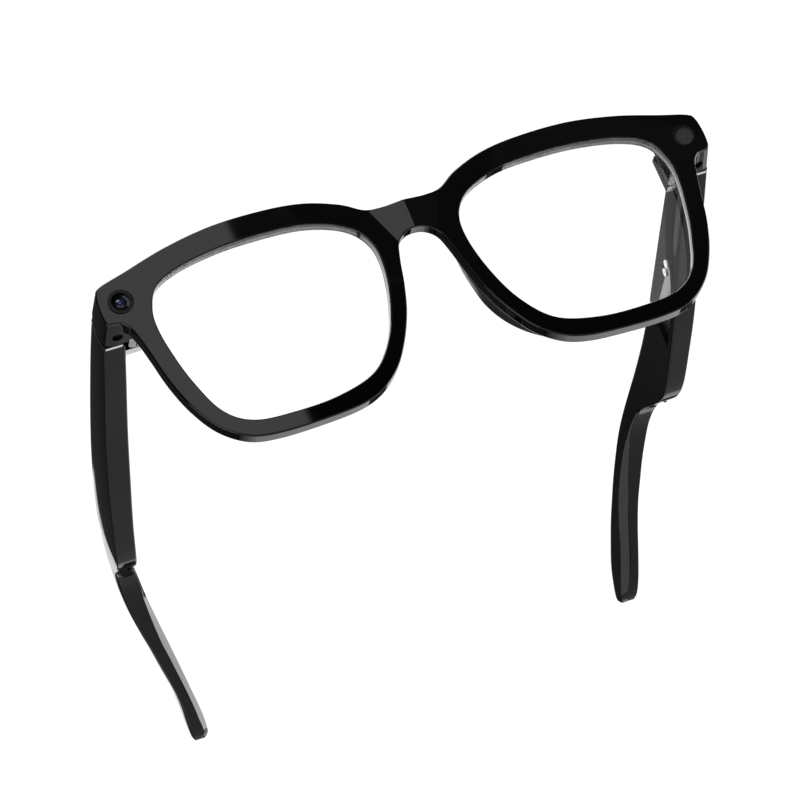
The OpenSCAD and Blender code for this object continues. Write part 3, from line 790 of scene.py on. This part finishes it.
FINISH = {"endpiece_cover": gloss_black, "microphone": mesh_black, "front_flex": film_brown,
          "camera_trim": trim_metal, "camera_barrel": trim_metal, "camera_module": housing,
          "indicator_trim": ring_grey, "indicator_window": lamp_grey,
          "indicator_board": board_green, "hinge_bracket": hinge_steel,
          "hinge_screw": hinge_steel, "end_plate": plate_metal, "core_wire": hinge_steel,
          "battery": foil, "speaker": housing, "speaker_port": mesh_black,
          "main_board": board_green, "processor_shield": foil, "button_switch": housing,
          "capture_button": temple_black, "touch_flex": film_brown,
          "charge_board": board_green, "charge_contact_front": contact_metal,
          "charge_contact_rear": contact_metal, "charge_magnet": foil}
# Radii of the rounded edges
ROUNDED = {"endpiece_cover": 0.12, "camera_trim": 0.15, "indicator_trim": 0.08,
           "indicator_window": 0.1, "hinge_bracket": 0.15, "hinge_screw": 0.1,
           "end_plate": 0.12, "capture_button": 0.25, "charge_contact_front": 0.15,
           "charge_contact_rear": 0.15}
for name, node in frame["nodes"].items():
    if node.hide_render:
        continue
    plain = name.removesuffix("_right").removesuffix("_left")
    node.data.materials.clear()
    node.data.materials.append(FINISH[plain])
    if plain in ROUNDED:
        bevel(node, ROUNDED[plain])

# ---------- floor, light and camera ----------

FLOOR_SIZE = 12.0                  # in metres


def hide_from(piece, rays):
    """Lets a piece of the studio show only to the other kinds of ray."""
    for ray in rays:
        setattr(piece, f"visible_{ray}", False)


def one_way_paper():
    """Pale paper that is clear from below."""
    paper = bpy.data.materials.new("pale_paper")
    paper.use_nodes = True
    nodes, links = paper.node_tree.nodes, paper.node_tree.links
    shader = nodes["Principled BSDF"]
    shader.inputs["Base Color"].default_value = (0.9, 0.9, 0.9, 1)
    shader.inputs["Roughness"].default_value = 0.8
    one_way = nodes.new("ShaderNodeMixShader")
    clear = nodes.new("ShaderNodeBsdfTransparent")
    facing = nodes.new("ShaderNodeNewGeometry")
    links.new(facing.outputs["Backfacing"], one_way.inputs["Fac"])
    links.new(shader.outputs["BSDF"], one_way.inputs[1])
    links.new(clear.outputs["BSDF"], one_way.inputs[2])
    links.new(one_way.outputs["Shader"], nodes["Material Output"].inputs["Surface"])
    return paper


bm = bmesh.new()
bmesh.ops.create_grid(bm, x_segments=1, y_segments=1, size=FLOOR_SIZE / 2)
mesh = bpy.data.meshes.new("floor")
bm.to_mesh(mesh)
bm.free()
mesh.materials.append(one_way_paper())
floor = bpy.data.objects.new("floor", mesh)
bpy.context.scene.collection.objects.link(floor)
hide_from(floor, ("glossy", "diffuse", "shadow"))

world = bpy.data.worlds.new("studio")
bpy.context.scene.world = world
world.use_nodes = True
world.node_tree.nodes["Background"].inputs["Color"].default_value = (1, 1, 1, 1)
world.node_tree.nodes["Background"].inputs["Strength"].default_value = 0.045


def glowing(name, level, fade=None):
    """Light of its own. fade is an axis of the panel, the level at that axis's low end, and
    the part of the way along it where the light reaches its full level."""
    glow = bpy.data.materials.new(name)
    glow.use_nodes = True
    tree = glow.node_tree
    tree.nodes.remove(tree.nodes["Principled BSDF"])
    light = tree.nodes.new("ShaderNodeEmission")
    light.inputs["Strength"].default_value = level
    if fade:
        axis, low_level, full_at = fade
        place = tree.nodes.new("ShaderNodeTexCoord")
        split = tree.nodes.new("ShaderNodeSeparateXYZ")
        ramp = tree.nodes.new("ShaderNodeMapRange")
        ramp.inputs["To Min"].default_value = low_level
        ramp.inputs["To Max"].default_value = level
        ramp.inputs["From Max"].default_value = full_at
        tree.links.new(place.outputs["Generated"], split.inputs["Vector"])
        tree.links.new(split.outputs[axis], ramp.inputs["Value"])
        tree.links.new(ramp.outputs["Result"], light.inputs["Strength"])
    tree.links.new(light.outputs["Emission"], tree.nodes["Material Output"].inputs["Surface"])
    return glow


def panel(name, corners, level, fade=None):
    """A flat panel of the studio that shows only in gloss."""
    bm = bmesh.new()
    bm.faces.new([bm.verts.new(c) for c in corners])
    piece = new_object(name, bm, material=glowing(name, level, fade), smooth=False)
    hide_from(piece, ("camera", "diffuse", "shadow", "transmission"))


def facing_y(x0, x1, y, z0, z1):
    """The corners of an upright panel that faces along Y."""
    return [(x0, y, z0), (x1, y, z0), (x1, y, z1), (x0, y, z1)]


def facing_x(x, y0, y1, z0, z1):
    """The corners of an upright panel that faces along X."""
    return [(x, y0, z0), (x, y1, z0), (x, y1, z1), (x, y0, z1)]


AHEAD, BEHIND, BELOW = -1500, 1500, -1500
panel("softbox_front", facing_y(-260, 211, AHEAD, 300, 1100), 1.15)
panel("dim_front", facing_y(212, 1500, AHEAD, 560, 760), 0.09, ("Z", 0.0, 1.0))
panel("wall_back", facing_y(60, 1700, BEHIND, 150, 1700), 1.0)
panel("wall_low", facing_y(-140, 59, BEHIND, 150, 620), 1.0)
panel("wall_right", facing_y(1701, 3200, BEHIND, -150, 900), 1.0)
panel("strip_back", facing_y(-500, 2600, BEHIND, -950, -350), 1.25, ("X", 0.0, 0.14))
panel("strip_left", facing_x(-1500, -4000, 1400, -1490, -150), 1.1)
panel("strip_right", facing_x(2300, -1200, 1490, -1490, 450), 4.5)
panel("ground_below", [(-5000, -5000, BELOW), (5000, -5000, BELOW), (5000, 2400, BELOW),
                       (-5000, 2400, BELOW)], 0.45)

bm = bmesh.new()
bmesh.ops.create_icosphere(bm, subdivisions=4, radius=9000)
backdrop = new_object("backdrop", bm, material=glowing("backdrop", 1.1))
hide_from(backdrop, ("glossy", "diffuse", "shadow"))


def sunlight(name, energy, spread, turn):
    """A sun with its spread and its turns about X and Y in degrees."""
    sun = bpy.data.objects.new(name, bpy.data.lights.new(name, "SUN"))
    bpy.context.scene.collection.objects.link(sun)
    sun.data.energy = energy
    sun.data.angle = math.radians(spread)
    sun.rotation_euler = (math.radians(turn[0]), math.radians(turn[1]), 0)
    return sun


sunlight("overhead", 3.0, 50, (18, -14))
sunlight("side", 3.2, 12, (20, -72)).visible_glossy = False

# The camera looks up at the front from below, with a long lens
YAW, PITCH, ROLL = math.radians(16.59), math.radians(21.10), math.radians(-23.14)
forward = Vector((math.sin(YAW) * math.cos(PITCH), math.cos(YAW) * math.cos(PITCH),
                  math.sin(PITCH)))
level = Vector((math.cos(YAW), -math.sin(YAW), 0))
above = level.cross(forward)
right = math.cos(ROLL) * level + math.sin(ROLL) * above
up = -math.sin(ROLL) * level + math.cos(ROLL) * above
camera_at = -1031.6 * forward - 8.36 * right - 25.52 * up
view = Matrix((right, up, -forward)).transposed().to_4x4()
camera = bpy.data.objects.new("camera", bpy.data.cameras.new("camera"))
bpy.context.scene.collection.objects.link(camera)
camera.matrix_world = Matrix.Translation(TO_ROW @ camera_at) @ TURN @ view
camera.data.sensor_width = 36
camera.data.lens = 216.53
camera.data.clip_start, camera.data.clip_end = 0.05, 30
bpy.context.scene.camera = camera
bpy.context.scene.view_settings.view_transform = "Standard"
